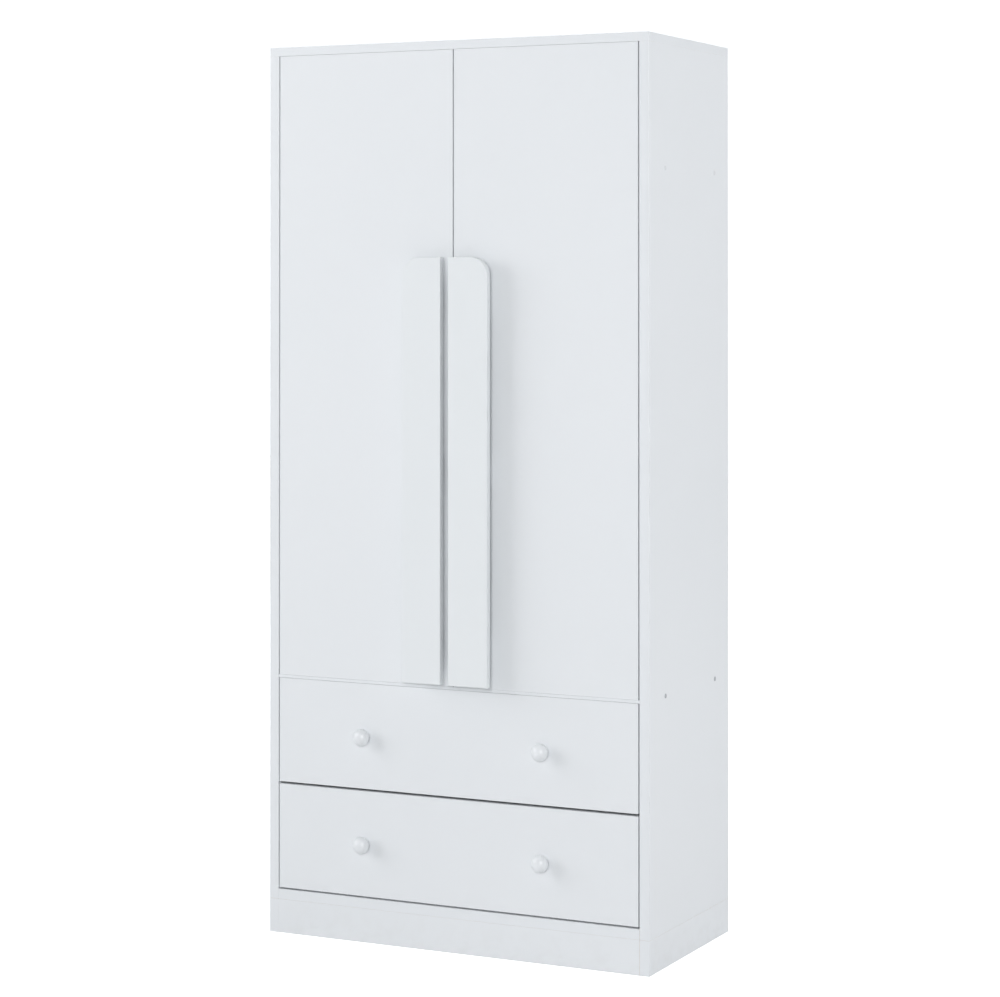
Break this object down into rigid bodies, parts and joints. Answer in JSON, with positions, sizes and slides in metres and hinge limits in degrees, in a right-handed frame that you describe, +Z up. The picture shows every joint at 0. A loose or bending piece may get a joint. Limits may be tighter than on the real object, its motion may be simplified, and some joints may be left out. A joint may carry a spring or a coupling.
{
  "type": "wardrobe",
  "caption": "Tall wardrobe with full-height hinged doors on long upright board handles, a hanging space and hat shelf, and wide knobbed drawers over a flush plinth.",
  "frame": {"origin": "middle of the bounding box's base, on the floor under the plinth", "axes": "+Z up, +Y from the doors towards the back, +X to the right as seen from the front"},
  "size_m": [0.9016, 0.486, 1.93],
  "materials": {
    "white_board": "satin white melamine on particle board",
    "handle_lacquer": "satin white lacquer on fibreboard",
    "knob_lacquer": "satin white lacquer on turned wood",
    "drawer_board": "matt white foil on particle board",
    "hardboard": "white painted hardboard",
    "beech": "raw turned beech",
    "rail_tube": "satin anodised",
    "zinc_casting": "dull nickel plated casting",
    "plated_steel": "bright zinc plated",
    "white_plastic": "moulded white plastic"
  },
  "bodies": {
    "carcass": {"top_panel": "white_board", "bottom_panel": "white_board", "left_side_panel": "white_board", "right_side_panel": "white_board", "divider_shelf": "white_board", "upper_shelf": "white_board", "lower_back_sheet": "hardboard", "upper_back_sheet": "hardboard", "plinth_left_board": "white_board", "plinth_right_board": "white_board", "plinth_front_board": "white_board", "plinth_back_board": "white_board", "plinth_stretcher": "white_board", "divider_front_strip": "white_board", "hanging_rail": "rail_tube", "hanging_rail_sockets": "zinc_casting", "hinge_plates": "plated_steel", "hinge_plate_screws": "plated_steel", "hinge_arms": "plated_steel", "outer_rails": "plated_steel", "runner_screws": "plated_steel", "rail_socket_screws": "plated_steel", "shelf_screws": "plated_steel", "screw_caps": "white_plastic", "dowels": "beech", "cam_bolts": "plated_steel", "cam_locks": "zinc_casting", "back_nails": "plated_steel"},
    "door_left": {"left_door": "white_board", "left_hinge_cups": "plated_steel", "left_handle": "handle_lacquer", "left_handle_blocks": "handle_lacquer", "left_handle_screws": "plated_steel"},
    "door_right": {"right_door": "white_board", "right_hinge_cups": "plated_steel", "right_handle": "handle_lacquer", "right_handle_blocks": "handle_lacquer", "right_handle_screws": "plated_steel"},
    "drawer_upper": {"upper_drawer_front": "white_board", "upper_drawer_left_side": "drawer_board", "upper_drawer_right_side": "drawer_board", "upper_drawer_back": "drawer_board", "upper_drawer_bottom": "hardboard", "upper_drawer_knobs": "knob_lacquer", "upper_knob_screws": "plated_steel", "upper_inner_rails": "plated_steel"},
    "runners_upper": {"upper_middle_rails": "plated_steel"},
    "drawer_lower": {"lower_drawer_front": "white_board", "lower_drawer_left_side": "drawer_board", "lower_drawer_right_side": "drawer_board", "lower_drawer_back": "drawer_board", "lower_drawer_bottom": "hardboard", "lower_drawer_knobs": "knob_lacquer", "lower_knob_screws": "plated_steel", "lower_inner_rails": "plated_steel"},
    "runners_lower": {"lower_middle_rails": "plated_steel"}
  },
  "joints": [
    {"name": "left_door_hinge", "type": "hinge", "parent": "carcass", "child": "door_left", "pos_m": [-0.412, -0.1924, 1.2363], "axis": [0, 0, -1], "range_deg": [0, 95]},
    {"name": "right_door_hinge", "type": "hinge", "parent": "carcass", "child": "door_right", "pos_m": [0.412, -0.1924, 1.2363], "axis": [0, 0, 1], "range_deg": [0, 95]},
    {"name": "upper_drawer_slide", "type": "slide", "parent": "carcass", "child": "drawer_upper", "axis": [0, -1, 0], "range_m": [0, 0.33]},
    {"name": "upper_runner_slide", "type": "slide", "parent": "carcass", "child": "runners_upper", "axis": [0, -1, 0], "range_m": [0, 0.165]},
    {"name": "lower_drawer_slide", "type": "slide", "parent": "carcass", "child": "drawer_lower", "axis": [0, -1, 0], "range_m": [0, 0.33]},
    {"name": "lower_runner_slide", "type": "slide", "parent": "carcass", "child": "runners_lower", "axis": [0, -1, 0], "range_m": [0, 0.165]}
  ],
  "couplings": [
    {"joint": "upper_runner_slide", "follows": "upper_drawer_slide", "ratio": 0.5},
    {"joint": "lower_runner_slide", "follows": "lower_drawer_slide", "ratio": 0.5}
  ]
}
